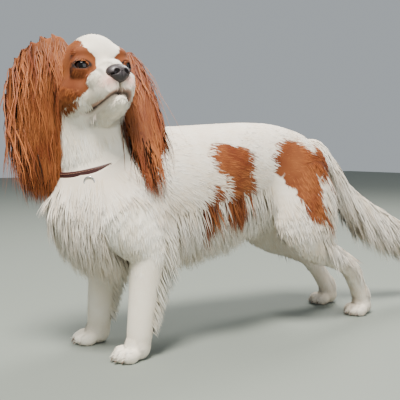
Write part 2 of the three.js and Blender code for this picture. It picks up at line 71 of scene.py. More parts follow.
def toHead(points):  # from the dog's frame, in mm, to the head's
    return (np.asarray(points, float) - np.array(head["at"])) @ np.linalg.inv(headM).T


# the flesh as a field: tables of rounds joined smoothly
trunk = [  # y, back line, belly line, half width
    (-112, 216, 188, 15), (-103, 232, 168, 34), (-85, 248, 149, 52), (-55, 269, 139, 65),
    (-20, 291, 138, 73), (25, 305, 140, 78), (80, 310, 146, 80), (135, 314, 156, 77),
    (185, 317, 172, 67), (235, 315, 184, 61), (275, 306, 190, 57), (305, 291, 198, 50),
    (326, 272, 211, 36), (335, 255, 228, 18)]
limbs = {  # x, y, z, half across, half along; then how softly it joins
    "neck": ([(0, -26, 205, 44, 48), (0, -34, 235, 52, 60), (3, -46, 272, 48, 56), (8, -55, 308, 42, 48),
              (14, -62, 340, 38, 41), (18, -66, 366, 32, 32)], 24),
    "forelegLeft": ([(44, -40, 215, 13, 20), (52, -36, 200, 23, 34), (57, -16, 172, 27, 37),
                     (59, 0, 145, 23, 29), (59, -4, 115, 20, 23), (59, -8, 80, 18, 20),
                     (59, -12, 50, 17, 18), (58, -14, 28, 16.5, 16.5), (58, -15, 15, 12, 12)], 22),
    "forelegRight": ([(-44, -46, 215, 13, 20), (-50, -44, 200, 23, 34), (-50, -28, 172, 27, 37),
                      (-47, -16, 145, 23, 29), (-44, -22, 115, 20, 23), (-41, -28, 80, 18, 20),
                      (-39, -32, 50, 17, 18), (-38, -34, 28, 16.5, 16.5), (-38, -35, 15, 12, 12)], 22),
    "thighLeft": ([(36, 262, 262, 13, 20), (41, 264, 242, 24, 42), (49, 264, 205, 29, 54),
                   (56, 260, 170, 27, 48), (59, 268, 145, 22, 34), (57, 286, 128, 17, 23),
                   (56, 298, 120, 11, 15)], 24),
    "shankLeft": ([(57, 276, 136, 11, 15), (56, 292, 126, 16, 22), (54, 322, 110, 15, 18),
                   (51, 350, 96, 14, 15), (49, 370, 80, 13.5, 14.5), (45, 386, 58, 13.5, 13.5),
                   (42, 400, 36, 14.5, 14.5), (41, 406, 20, 12, 12)], 14),
    "tail": ([(0, 318, 286, 8, 8), (0, 334, 279, 12, 12), (1, 362, 252, 11, 11), (3, 388, 220, 9, 9),
              (6, 424, 192, 8, 8), (9, 470, 168, 7, 7), (12, 512, 148, 5, 5), (13, 524, 142, 2.5, 2.5)], 14),
}
for name in ("thigh", "shank"):
    rows, soft = limbs[name + "Left"]
    limbs[name + "Right"] = ([(-r[0],) + r[1:] for r in rows], soft)
paws = {"foreLeft": ((58, -20), 6, 1), "foreRight": ((-38, -40), -4, 1),
        "hindLeft": ((40, 404), 8, 0.94), "hindRight": ((-46, 404), -8, 0.94)}
toes = [(-13.5, -13, 6.0), (-5, -19, 6.6), (5, -19, 6.6), (13.5, -13, 6.0)]
ears = {"left": ([(6, -27, 404, 8, 3), (16, -15, 399, 15, 4), (30, -8, 376, 19, 3.5), (43, -7, 344, 21, 3),
                  (53, -8, 315, 18, 3), (60, -10, 298, 8, 2.5)], (0.2, 0.98, 0)),
        "right": ([(18, -97, 408, 8, 3), (11, -110, 403, 22, 4), (3, -121, 378, 38, 3.5),
                  (-5, -126, 343, 44, 3), (-6, -122, 312, 37, 3),
                  (-6, -118, 294, 17, 2.5)], (0.5, 0.866, 0))}
headRounds = [  # centre, half sizes, softness; sides are mirrored
    ((0, 4, 10), (41, 47, 39), 6), ((0, -29, 18), (31, 25, 28), 14), ((23, -42, 17), (13.5, 11, 8.5), 9),
    ((25, -38, -1), (14, 11, 13), 9), ((27, -14, -26), (20, 31, 23), 12),
    ((16, -57, -22), (13, 16, 13), 10), ((0, -60, -9), (13, 18, 12), 11),
    ((10, -63, -32), (13.5, 17, 14.5), 7), ((16, -44, -37), (11, 23, 12.5), 8),
    ((0, -36, -38), (19, 29, 15), 10), ((0, 2, -46), (30, 32, 26), 12)]
jaw = [(0, 14, -50, 18, 11), (0, -6, -54, 22, 12), (0, -28, -54, 21.5, 11.5), (0, -46, -53.5, 18, 10.5),
       (0, -59, -52.5, 13.5, 9.5), (0, -68, -51, 8, 7)]


def along(rows, t):  # smooth value between rows, t from 0 to 1
    rows = np.asarray(rows, float)
    at = np.clip(np.asarray(t, float), 0, 1) * (len(rows) - 1)
    i = np.minimum(at.astype(int), len(rows) - 2)
    s = (at - i)[..., None]
    a, b, c, d = (rows[np.clip(i + k, 0, len(rows) - 1)] for k in (-1, 0, 1, 2))
    return b + 0.5 * s * (c - a + s * (2 * a - 5 * b + 4 * c - d + s * (3 * (b - c) + d - a)))


def limbSections(rows, across=(1, 0, 0), count=26):  # centres, axes and half sizes along a limb
    t = np.linspace(0, 1, count)
    v = along(rows, t)
    tangent = along(rows, t + 0.02)[:, :3] - along(rows, t - 0.02)[:, :3]
    tangent /= np.linalg.norm(tangent, axis=1)[:, None]
    side = np.asarray(across, float) - (tangent @ np.asarray(across, float))[:, None] * tangent
    side /= np.linalg.norm(side, axis=1)[:, None]
    return v[:, :3], tangent, side, np.cross(tangent, side), v[:, 3], v[:, 4]


def unit(v):
    return v / (np.linalg.norm(v, axis=-1, keepdims=True) + 1e-9)


def smoothMin(a, b, k):
    h = np.maximum(k - np.abs(a - b), 0) / k
    return np.minimum(a, b) - h * h * k / 4


def roundDistance(p, at, half):
    q = p - np.asarray(at, float)
    k0 = np.sqrt(((q / half) ** 2).sum(-1))
    k1 = np.sqrt(((q / np.square(half)) ** 2).sum(-1)) + 1e-9
    return np.where(k0 < 1e-3, -min(half), k0 * (k0 - 1) / k1)


def limbDistance(p, rows, across=(1, 0, 0), count=26):
    centre, tangent, side, deep, half, depth = limbSections(rows, across, count)
    best = np.full(p.shape[:-1], 1e9)
    for i in range(count - 1):  # short leaning stubs, each an oval
        span = centre[i + 1] - centre[i]
        q = p - centre[i]
        t = np.clip((q @ span) / (span @ span), 0, 1)
        q = q - t[..., None] * span
        w = half[i] + t * (half[i + 1] - half[i])
        d = depth[i] + t * (depth[i + 1] - depth[i])
        u, v, n = q @ side[i], q @ deep[i], q @ tangent[i]
        k0 = np.sqrt((u / w) ** 2 + (v / d) ** 2 + (n / np.minimum(w, d)) ** 2)
        k1 = np.sqrt((u / w ** 2) ** 2 + (v / d ** 2) ** 2 + (n / np.minimum(w, d) ** 2) ** 2) + 1e-9
        best = np.minimum(best, np.where(k0 < 1e-3, -np.minimum(w, d), k0 * (k0 - 1) / k1))
    return best


def mouthLine(x):  # height of the line of the mouth, at x to either side
    return -41 - np.minimum(0.0235 * x * x, 9)


def headDistance(p):  # p in the head's frame
    m = p.copy()
    m[..., 0] = np.abs(m[..., 0])
    field = None
    for at, half, soft in headRounds:
        d = roundDistance(m, at, half)
        field = d if field is None else smoothMin(field, d, soft)
    chin = limbDistance(p, jaw, count=12)
    field = smoothMin(field, chin, 3.5)  # leaves the mouth as a crease
    groove = np.abs(p[..., 2] - mouthLine(m[..., 0]))
    cut = (m[..., 1] < -24) & (m[..., 1] > -90)
    crease = 2.8 * np.exp(-(groove / 1.8) ** 2) * np.exp(-np.maximum(field, 0) ** 2 / 30)
    field = field + np.where(cut, crease, 0)
    philtrum = np.exp(-(p[..., 0] / 1.4) ** 2) * ((p[..., 2] < -28) & (p[..., 2] > -42) & (p[..., 1] < -62))
    field = field + 1.8 * philtrum
    eyeC = np.array(eye["at"])
    ball = np.linalg.norm(m - eyeC, axis=-1)
    turn = math.radians(eye["outward"])
    q = m - eyeC
    x = q[..., 0] * math.cos(turn) + q[..., 1] * math.sin(turn)
    y = -q[..., 0] * math.sin(turn) + q[..., 1] * math.cos(turn)
    z = q[..., 2] - 0.1 * x
    almond = np.sqrt((x / eye["wide"]) ** 2 + (z / eye["high"]) ** 2 + np.abs(x / 12) ** 3)
    cap = np.maximum(ball - (eye["radius"] + 2.6), y + 1)  # lids over the eyeball
    field = smoothMin(field, cap, 5)
    slot = np.maximum((almond - 1) * 6, y)
    field = np.maximum(field, -smoothMin(slot, ball - eye["radius"] - 0.2, 0.01))
    return field


def pawDistance(p, at, turn, wide):
    c, s = math.cos(math.radians(turn)), math.sin(math.radians(turn))
    q = p - np.array((at[0], at[1], 0.0))
    q = np.stack([q[..., 0] * c + q[..., 1] * s, -q[..., 0] * s + q[..., 1] * c, q[..., 2]], -1)
    field = roundDistance(q, (0, 2, 13), (16 * wide, 18, 14))
    for x, y, r in toes:
        field = smoothMin(field, roundDistance(q, (x * wide, y, 8.5), (r, 11.5, 9)), 2.5)
    return field


def trunkDistance(p):
    rows = np.array([(y, (a + b) / 2, h, (a - b) / 2) for y, a, b, h in trunk], float)
    ys = np.interp(p[..., 1], rows[:, 0], np.arange(len(rows)))
    v = along(rows, ys / (len(rows) - 1))
    u, w = np.abs(p[..., 0]) / v[..., 2], np.abs(p[..., 2] - v[..., 1]) / v[..., 3]
    k = (u ** 2.3 + w ** 2.3) ** (1 / 2.3)
    side = (k - 1) * np.minimum(v[..., 2], v[..., 3])
    ends = np.maximum(trunk[0][0] - p[..., 1], p[..., 1] - trunk[-1][0])
    return np.where(ends > 0, np.hypot(np.maximum(side, 0), ends), side)


def inBox(p, rows, pad, fieldOf, far):  # works a field out only near its limb
    rows = np.asarray(rows, float)
    reach = rows[:, 3:].max() + pad
    low, high = rows[:, :3].min(0) - reach, rows[:, :3].max(0) + reach
    near = np.all((p > low) & (p < high), axis=-1)
    field = np.full(p.shape[:-1], far, float)
    if near.any():
        field[near] = fieldOf(p[near])
    return field


def dogDistance(p):  # p in the dog's frame, mm
    field = np.minimum(trunkDistance(p), 60)
    for rows, soft in limbs.values():
        field = smoothMin(field, inBox(p, rows, 30, lambda q: limbDistance(q, rows), 60), soft)
    for at, turn, wide in paws.values():
        paw = inBox(p, [(at[0], at[1], 15, 30, 30)], 20, lambda q: pawDistance(q, at, turn, wide), 60)
        field = smoothMin(field, paw, 8)
    skull = inBox(p, [(*head["at"], 100, 100)], 15, lambda q: headDistance(toHead(q)) * head["scale"], 60)
    field = smoothMin(field, skull, 9)
    for rows, across in ears.values():
        field = smoothMin(field, inBox(p, rows, 20, lambda q: limbDistance(q, rows, across, 16), 60), 5)
    return np.maximum(field, -p[..., 2] + 0.2)  # flat soles


def surfaceOf(distance, low, high, step):  # points and faces of a field's zero level
    n = [int((h - l) / step) + 1 for l, h in zip(low, high)]
    axes = [l + step * np.arange(k) for l, k in zip(low, n)]
    values = np.empty(n, np.float32)
    for i in range(0, n[0], 24):
        block = np.stack(np.meshgrid(axes[0][i:i + 24], axes[1], axes[2], indexing="ij"), -1)
        values[i:i + 24] = distance(block)
    grid = openvdb.FloatGrid(background=60.0)
    grid.copyFromArray(values)
    points, _, quads = grid.convertToPolygons()
    return points * step + np.array(low), quads[:, ::-1]


def gradient(p, e=0.6):
    g = np.stack([dogDistance(p + e * a) - dogDistance(p - e * a) for a in np.eye(3)], -1)
    return g / (np.linalg.norm(g, axis=1)[:, None] + 1e-9)


# skin
skinPoints, skinQuads = surfaceOf(dogDistance, (-92, -176, -3), (96, 534, 436), 1.7)
normals = gradient(skinPoints)
print("skin points", len(skinPoints))

# regions of the skin, numbered in the order that near lists them in
(onTrunk, onNeck, onHead, onEarLeft, onEarRight,
 onForeLeft, onForeRight, onHindLeft, onHindRight, onTail) = range(10)
onEars = (onEarLeft, onEarRight)
near = [trunkDistance(skinPoints), limbDistance(skinPoints, limbs["neck"][0]),
        headDistance(toHead(skinPoints)) - 2]
near += [limbDistance(skinPoints, rows, across, 16) - 2 for rows, across in ears.values()]
for side in ("Left", "Right"):
    near.append(limbDistance(skinPoints, limbs["foreleg" + side][0], count=16))
for side in ("Left", "Right"):
    near.append(np.minimum(limbDistance(skinPoints, limbs["thigh" + side][0], count=14),
                           limbDistance(skinPoints, limbs["shank" + side][0], count=14)))
near.append(limbDistance(skinPoints, limbs["tail"][0], count=16))
near = np.array(near)
foot = skinPoints[:, 2] < 30
for k, (x0, y0) in enumerate(at for at, turn, wide in paws.values()):
    near[onForeLeft + k] = np.where(foot & (np.hypot(skinPoints[:, 0] - x0, skinPoints[:, 1] - y0) < 45), -99,
                                    near[onForeLeft + k])
region = near.argmin(0)


def ripple(p, size, seed):  # smooth noise from a few crossing waves, about -1 to 1
    rng = np.random.default_rng(seed)
    total = np.zeros(len(p))
    for k in range(9):
        way = rng.normal(size=3)
        way *= (1 + 0.35 * k) / np.linalg.norm(way) * 2 * math.pi / size
        total += np.sin(p @ way + rng.uniform(0, 6.3)) / (1 + 0.25 * k)
    return total / 2.6


patches = {  # ovals on the flanks: y, z, half along y, half along z, lean
    1: [(116, 264, 37, 24, 0.1), (131, 236, 27, 25, 0), (127, 209, 16, 15, 0), (83, 202, 11, 27, -0.45),
        (234, 266, 40, 27, 0.1), (254, 226, 28, 34, 0.2), (268, 192, 20, 18, 0), (292, 262, 26, 24, 0.5),
        (322, 236, 9, 40, 0.25), (342, 190, 6, 26, 0.2), (362, 128, 4, 34, -0.35)],
    -1: [(60, 268, 40, 26, 0.2), (92, 244, 26, 24, 0), (222, 262, 52, 30, 0.1), (262, 226, 34, 32, 0.2),
         (306, 252, 22, 26, 0.3), (352, 150, 4, 30, -0.3)]}


def markings(p, where):  # chestnut 0 to 1, dark 0 to 1, pink 0 to 1
    q = p + 5 * np.stack([ripple(p, 60, s) for s in (1, 2, 3)], -1)
    q[:, 1] += 7 * ripple(p * (0.3, 0.35, 2.2), 40, 4) * (p[:, 1] > 150)
    inside = np.full(len(p), -1.0)
    for side, ovals in patches.items():
        for y, z, a, b, lean in ovals:
            u, v = q[:, 1] - y, q[:, 2] - z
            u, v = u * math.cos(lean) + v * math.sin(lean), v * math.cos(lean) - u * math.sin(lean)
            k = (1 - np.hypot(u / a, v / b)) * min(a, b)
            inside = np.maximum(inside, np.where(p[:, 0] * side > 6, k, -1))
    body = np.clip(0.5 + inside / 3.0, 0, 1) * ~((where >= onNeck) & (where <= onForeRight))
    h = toHead(p)
    wob = 2.2 * ripple(h, 22, 5)
    x, y, z = np.abs(h[:, 0]), h[:, 1], h[:, 2]
    blaze = np.interp(z, [-20, -6, 4, 10, 15, 23, 33, 46], [13, 9, 10, 13, 20, 25, 22, 21]) + 0.6 * wob
    blaze = np.where(y > 4, np.interp(y, [4, 44], [28, 6]), blaze)
    muzzle = np.maximum(-(y + 51) + wob - 0.25 * np.maximum(x - 12, 0) * 4 * (z > -12), 0)
    lipLine = (-24 - 0.42 * (y + 62)) + wob  # white below it: lips, chin and throat
    white = (x < blaze) | (muzzle > 0) | (z < lipLine - 0.25 * x * (y > -20))
    white |= (z < -40) & (y < 0)
    face = np.where(where == onHead, ~white, 0.0)
    ear = np.isin(where, onEars) * 1.0
    neckBack = (where == onNeck) & (h[:, 1] > 10) & (h[:, 2] > -52) & (x > 16)
    mark = np.maximum.reduce([body, face, ear, neckBack])
    e = np.array(eye["at"])
    turn = math.radians(eye["outward"])
    u = (x - e[0]) * math.cos(turn) + (y - e[1]) * math.sin(turn)
    w = z - e[2] - 0.1 * u
    almond = np.sqrt((u / eye["wide"]) ** 2 + (w / eye["high"]) ** 2)
    front = (y < -36) & (where == onHead)
    dark = np.clip(1.7 - np.maximum(almond - 0.95, 0) * 4.0, 0, 1) * front
    stain = np.hypot((x - 19.5 - 0.1 * (z + 10)) / 3.2, (z + 14) / 10)
    dark = np.maximum(dark, 0.55 * np.clip(1.3 - stain, 0, 1) * front)
    corner = np.hypot((u - 12) / 7, (w + 1.5 + 0.25 * (u - 9)) / 1.6)
    dark = np.maximum(dark, 0.7 * np.clip(1.4 - corner, 0, 1) * front)
    groove = np.abs(z - mouthLine(x))
    mouth = np.clip(1.25 - groove / 2.1, 0, 1) * (y < -24) * (where == onHead)
    philtrum = np.clip(1.3 - x / 1.2, 0, 1) * (z < -28) * (z > -41) * (y < -62)
    dark = np.maximum.reduce([dark, 0.85 * mouth, 0.8 * philtrum])
    pink = np.clip(1.3 - np.hypot((x - 13) / 11, (z + 28) / 10), 0, 1) * (y < -56) * (where == onHead)
    pink = np.maximum(pink, 0.35 * np.clip(1.2 - groove / 6, 0, 1) * (y < -20) * (where == onHead))
    lip = np.clip(1.3 - np.abs(z - mouthLine(x) - 2.2) / 2.6, 0, 1) * (y < -24) * (where == onHead)
    mark = np.maximum(mark, 0.7 * lip)
    return mark, dark, pink


marks = markings(skinPoints, region)


def coatOf(p, n, where):  # lie, length in mm and kind (0 short, 1 long) of the coat at each point
    h, count = toHead(p), len(p)
    lie, size, long = np.zeros((count, 3)), np.zeros(count), np.zeros(count, int)
    jit = ripple(p, 45, 8)

    def put(at, way, reach, isLong=0):
        lie[at] = np.broadcast_to(np.asarray(way, float), (count, 3))[at]
        size[at] = np.broadcast_to(reach, count)[at]
        long[at] = isLong

    low = np.clip((235 - p[:, 2]) / 60, 0, 1)
    t = where == onTrunk
    put(t, np.stack([0 * low, 1 - 0.6 * low, -0.22 - 0.9 * low], -1), 17 + 16 * low)
    put(t & (p[:, 1] < 15), np.stack([0 * low, 0.45 - 0.3 * low, -0.7 - 0.3 * low], -1), 22 + 16 * low)
    put(t & (p[:, 1] < -62), (0, 0.1, -1), 30 + 8 * low, 1)
    put(t & (p[:, 1] < -10) & (p[:, 2] < 200), (0, 0.12, -1), 38 + 22 * np.clip((200 - p[:, 2]) / 60, 0, 1), 1)
    belly = t & (n[:, 2] < -0.15) & (p[:, 1] > -10) & (p[:, 1] < 222)
    put(belly, (0, 0.3, -1), 56 - 12 * np.clip(p[:, 1] / 200, 0, 1), 1)
    put(t & (p[:, 1] > 20) & (p[:, 1] < 225) & (p[:, 2] < 192) & ~belly, (0, 0.4, -1), 42, 1)
    put(where == onNeck, (0, 0.25, -1), 22 + 8 * (p[:, 2] < 290))
    top = headM @ np.array((0, 1, 0.0))
    back = np.clip((h[:, 1] + 60) / 70, 0, 1)
    inHead = np.stack([0.5 * np.sign(h[:, 0]), 0.5 + 0 * back, -0.25 - 0.5 * (h[:, 2] < 0)], -1)
    headLie = (headM @ inHead.T).T
    headLie = np.where((h[:, 2] > 14)[:, None], top, headLie)
    put(where == onHead, headLie, 6.5 + 5 * back)
    put((where == onHead) & (h[:, 1] > 2) & (h[:, 2] > -30), headLie, 10)
    put((where == onHead) & (h[:, 2] < -36) & (h[:, 1] > -40), (0, 0.1, -1), 14)
    for k in onEars:
        rows, across = ears["left" if k == onEarLeft else "right"]
        axis = unit(np.array(across, float))
        fromMiddle = (p - np.array(rows[2][:3], float)) @ axis / rows[3][3]
        spread = 0.2 * np.clip((p[:, 2] - 325) / 60, 0, 1) - 0.12  # out at the ear's top, in below
        fan = (fromMiddle * spread)[:, None]
        put(where == k, axis * fan + np.array((0.2, 0.1, -1.0) if k == onEarLeft else (0.02, 0.03, -1.0)),
            np.clip(p[:, 2] - 212, 34, 118) - 1.5 * np.maximum(p[:, 2] - 378, 0), 1)
    for k in (onForeLeft, onForeRight):
        put(where == k, (0, 0.1, -1), 9 + 9 * np.clip((p[:, 2] - 90) / 80, 0, 1))
        put((where == k) & (n[:, 1] > 0.35) & (p[:, 2] > 45) & (p[:, 2] < 185), (0, 0.5, -0.86),
            22 + 24 * np.clip((p[:, 2] - 45) / 100, 0, 1), 1)
    for k in (onHindLeft, onHindRight):
        put(where == k, (0, 0.4, -1), 13 + 8 * (p[:, 2] > 150))
        put((where == k) & (n[:, 1] > 0.3) & (p[:, 2] > 112) & (p[:, 2] < 245), (0, 0.42, -0.9), 50, 1)
        put((where == k) & (n[:, 1] > 0.2) & (p[:, 2] > 40) & (p[:, 2] < 112), (0, 0.25, -1), 20, 1)
    feet = np.isin(where, (onForeLeft, onForeRight, onHindLeft, onHindRight)) & (p[:, 2] < 30)
    put(feet, (0, -1, -0.35), 7)
    put(where == onTail, (0, 0.7, -0.7), np.interp(p[:, 1], [325, 350, 400], [16, 26, 44]), 1)
    under = (where == onTail) & (n[:, 2] < 0.5) & (p[:, 1] > 328)
    feather = np.interp(p[:, 1], [328, 345, 380, 460, 530], [50, 96, 112, 98, 84]) + 8 * jit
    put(under, (0, 0.42, -0.9), feather, 1)
    lie /= np.linalg.norm(lie, axis=1)[:, None] + 1e-9
    return lie, size, long


lie, coatLength, isLong = coatOf(skinPoints, normals, region)


def fastMesh(name, points, tris, attributes, uv=None):
    mesh = bpy.data.meshes.new(name)
    mesh.vertices.add(len(points))
    mesh.vertices.foreach_set("co", np.ascontiguousarray(points, np.float32).ravel())
    mesh.loops.add(tris.size)
    mesh.loops.foreach_set("vertex_index", np.ascontiguousarray(tris, np.int32).ravel())
    sides = tris.shape[1]
    mesh.polygons.add(len(tris))
    mesh.polygons.foreach_set("loop_start", np.arange(0, tris.size, sides, dtype=np.int32))
    mesh.polygons.foreach_set("use_smooth", np.ones(len(tris), bool))
    for key, values in attributes.items():
        layer = mesh.attributes.new(key, "FLOAT", "POINT")
        layer.data.foreach_set("value", np.ascontiguousarray(values, np.float32))
    if uv is not None:
        layer = mesh.uv_layers.new(name="OFBake")
        layer.data.foreach_set("uv", np.ascontiguousarray(uv[tris.ravel()], np.float32).ravel())
    mesh.update(calc_edges=True)
    mesh.validate()
    piece = bpy.data.objects.new(name, mesh)
    bpy.context.scene.collection.objects.link(piece)
    return piece


def bakePlace(p, n, where):  # each region's six sides in cells of their own
    axis = np.abs(n).argmax(1)
    way = axis * 2 + (n[np.arange(len(n)), axis] > 0)
    cell = where * 6 + way
    flat = np.stack([np.where(axis == 0, p[:, 1], p[:, 0]), np.where(axis == 2, p[:, 1], p[:, 2])], -1)
    place = np.zeros((len(p), 2))
    for c in np.unique(cell):
        at = cell == c
        low, high = flat[at].min(0), flat[at].max(0)
        place[at] = (flat[at] - low) / (high - low + 1) * 0.9 + 0.05
    return (place + np.stack([cell % 8, cell // 8], -1)) / 8


place = bakePlace(skinPoints, normals, region)

# looks shared by skin and coat
def feed(tree, socket, value):  # links the socket, or sets its value
    if isinstance(value, bpy.types.NodeSocket):
        tree.links.new(value, socket)
    else:
        socket.default_value = value


def node(tree, kind, links=None, **settings):
    made = tree.nodes.new(kind)
    for key, value in settings.items():
        setattr(made, key, value)
    for key, value in (links or {}).items():
        feed(tree, made.inputs[key], value)
    return made


def mix(tree, amount, a, b, blend="MIX"):
    made = node(tree, "ShaderNodeMix", data_type="RGBA", blend_type=blend)
    for at, value in ((0, amount), (6, a), (7, b)):
        feed(tree, made.inputs[at], value)
    return made.outputs[2]


def maths(tree, way, a, b=0.0, c=0.0, clamp=False):
    made = node(tree, "ShaderNodeMath", operation=way, use_clamp=clamp)
    for at, value in enumerate((a, b, c)):
        feed(tree, made.inputs[at], value)
    return made.outputs[0]


# the darkest brown hue is painted shade, laid at the roots of the chestnut hair
hues = {"white": (0.91, 0.86, 0.75, 1), "cream": (0.66, 0.50, 0.30, 1), "chestnut": (0.155, 0.031, 0.006, 1),
        "fox": (0.34, 0.108, 0.028, 1), "rootShade": (0.045, 0.009, 0.003, 1), "black": (0.012, 0.007, 0.006, 1),
        "pink": (0.70, 0.34, 0.27, 1)}


def coatColour():  # the group that skin and coat both read their colour from
    tree = bpy.data.node_groups.new("coatColour", "ShaderNodeTree")
    for name in ("tint", "tip"):
        tree.interface.new_socket(name, in_out="INPUT", socket_type="NodeSocketFloat")
    tree.interface.new_socket("colour", in_out="OUTPUT", socket_type="NodeSocketColor")
    given = tree.nodes.new("NodeGroupInput")
    tint, tip = given.outputs["tint"], given.outputs["tip"]
    mark, dark, pink = (node(tree, "ShaderNodeAttribute", attribute_name=n).outputs["Fac"]
                        for n in ("mark", "dark", "pink"))
    grain = node(tree, "ShaderNodeTexNoise", {"Scale": 28.0, "Detail": 3.0})
    tree.links.new(node(tree, "ShaderNodeTexCoord").outputs["Object"], grain.inputs["Vector"])
    soft = maths(tree, "SUBTRACT", grain.outputs["Fac"], 0.5)
    shade = maths(tree, "MULTIPLY_ADD", soft, 1.6, tint, True)
    pale = mix(tree, maths(tree, "MULTIPLY", shade, 0.5), hues["white"], hues["cream"])
    warm = mix(tree, shade, hues["chestnut"], hues["fox"])
    # each hair darkens towards its root (tip 0): painted shade between the hairs, a dark brown on chestnut and
    # cream on white
    warm = mix(tree, maths(tree, "MULTIPLY_ADD", tip, -0.75, 0.6, True), warm, hues["rootShade"])
    pale = mix(tree, maths(tree, "MULTIPLY_ADD", tip, -0.5, 0.35, True), pale, hues["cream"])
    colour = mix(tree, mark, pale, warm)
    colour = mix(tree, maths(tree, "MULTIPLY", pink, 0.75), colour, hues["pink"])
    colour = mix(tree, dark, colour, hues["black"])
    tree.links.new(colour, tree.nodes.new("NodeGroupOutput").inputs["colour"])
    return tree


colourGroup = coatColour()


def coatMaterial(name, roughness, strand):
    material = bpy.data.materials.new(name)
    material.use_nodes = True
    tree = material.node_tree
    look = tree.nodes["Principled BSDF"]
    group = node(tree, "ShaderNodeGroup", node_tree=colourGroup)
    group.inputs["tint"].default_value = 0.35
    # tip 0.35 gives the skin the colour of a point a third of the way along a hair, with part of the painted
    # root shade
    group.inputs["tip"].default_value = 0.35
    if strand:
        for key in ("tint", "tip"):
            given = node(tree, "ShaderNodeAttribute", attribute_name=key)
            tree.links.new(given.outputs["Fac"], group.inputs[key])
    tree.links.new(group.outputs["colour"], look.inputs["Base Color"])
    look.inputs["Roughness"].default_value = roughness
    look.inputs["Specular IOR Level"].default_value = 0.22
    look.inputs["Sheen Weight"].default_value = 0.03
    look.inputs["Sheen Roughness"].default_value = 0.5
    if not strand:
        fine = node(tree, "ShaderNodeTexNoise", {"Scale": 900.0, "Detail": 2.0})
        tree.links.new(node(tree, "ShaderNodeTexCoord").outputs["Object"], fine.inputs["Vector"])
        bump = node(tree, "ShaderNodeBump", {"Strength": 0.35, "Distance": 0.0006,
                                             "Height": fine.outputs["Fac"]})
        tree.links.new(bump.outputs["Normal"], look.inputs["Normal"])
    return material


def plainMaterial(name, colour, roughness, metallic=0.0, coat=0.0, bumpScale=0, bumpStrength=0.3):
    material = bpy.data.materials.new(name)
    material.use_nodes = True
    tree = material.node_tree
    look = tree.nodes["Principled BSDF"]
    look.inputs["Base Color"].default_value = colour
    look.inputs["Roughness"].default_value = roughness
    look.inputs["Metallic"].default_value = metallic
    look.inputs["Coat Weight"].default_value = coat
    look.inputs["Coat Roughness"].default_value = 0.05
    if bumpScale:
        cells = node(tree, "ShaderNodeTexVoronoi", {"Scale": bumpScale})
        tree.links.new(node(tree, "ShaderNodeTexCoord").outputs["Object"], cells.inputs["Vector"])
        bump = node(tree, "ShaderNodeBump", {"Strength": bumpStrength, "Distance": 0.0004,
                                             "Height": cells.outputs["Distance"]})
        tree.links.new(bump.outputs["Normal"], look.inputs["Normal"])
    return material


skinLook = coatMaterial("skinLook", 0.75, False)
strandLook = coatMaterial("strandLook", 0.5, True)


def dress(piece, material, slot, *nodes):
    piece.data.materials.append(material)
    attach(piece, "root")
    if nodes:
        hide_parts(*nodes)
    return piece


skin = fastMesh("skin", placed(skinPoints), skinQuads, dict(zip(("mark", "dark", "pink"), marks)))
flesh = ["chest", "barrel", "rump", "neck", "head", "jaw", "tail", "ear_left", "ear_right"]
for side in ("left", "right"):
    flesh += [part + "_" + side for part in ("foreleg", "thigh", "shank", "forepaw", "hindpaw")]
dress(skin, skinLook, "white_coat", *flesh)
print("skin made")


# where the collar lies
collar = {"at": 0.33, "width": 15, "thick": 3.2, "bevel": 0.6, "crown": 0.3, "gap": 0.35, "turns": 120,
          "lowest": 215, "behind": 40, "reach": 1.12, "bare": 8, "stop": 5, "least": 4}
inset = 2  # mm from the neck's solid in to the skin
neckRows = [(x, y, z, half + inset, depth + inset) for x, y, z, half, depth in limbs["neck"][0]]


def neckCut(t):
    centre, tangent, side, deep, half, depth = limbSections(neckRows, count=101)
    k = int(round(t * 100))
    return centre[k], tangent[k], side[k], deep[k], half[k], depth[k]


cut = neckCut(collar["at"])
lowCut, highCut = neckCut(collar["at"] - 0.05), neckCut(collar["at"] + 0.05)
span = np.linalg.norm(highCut[0] - lowCut[0])


# coat: every strand a thin tapering sliver with its root just under the skin
def locksOf(root, size, seed):  # one number per strand for the lock that it belongs to
    bent = root + size * 0.35 * np.stack([ripple(root, size * 3, seed + k) for k in range(3)], -1)
    cell = np.floor(bent / size).astype(int)
    return np.unique(cell, axis=0, return_inverse=True)[1].ravel()


def meanOf(values, lock):
    count = np.bincount(lock)[:, None]
    return np.stack([np.bincount(lock, values[:, k]) for k in range(values.shape[1])], -1) / count


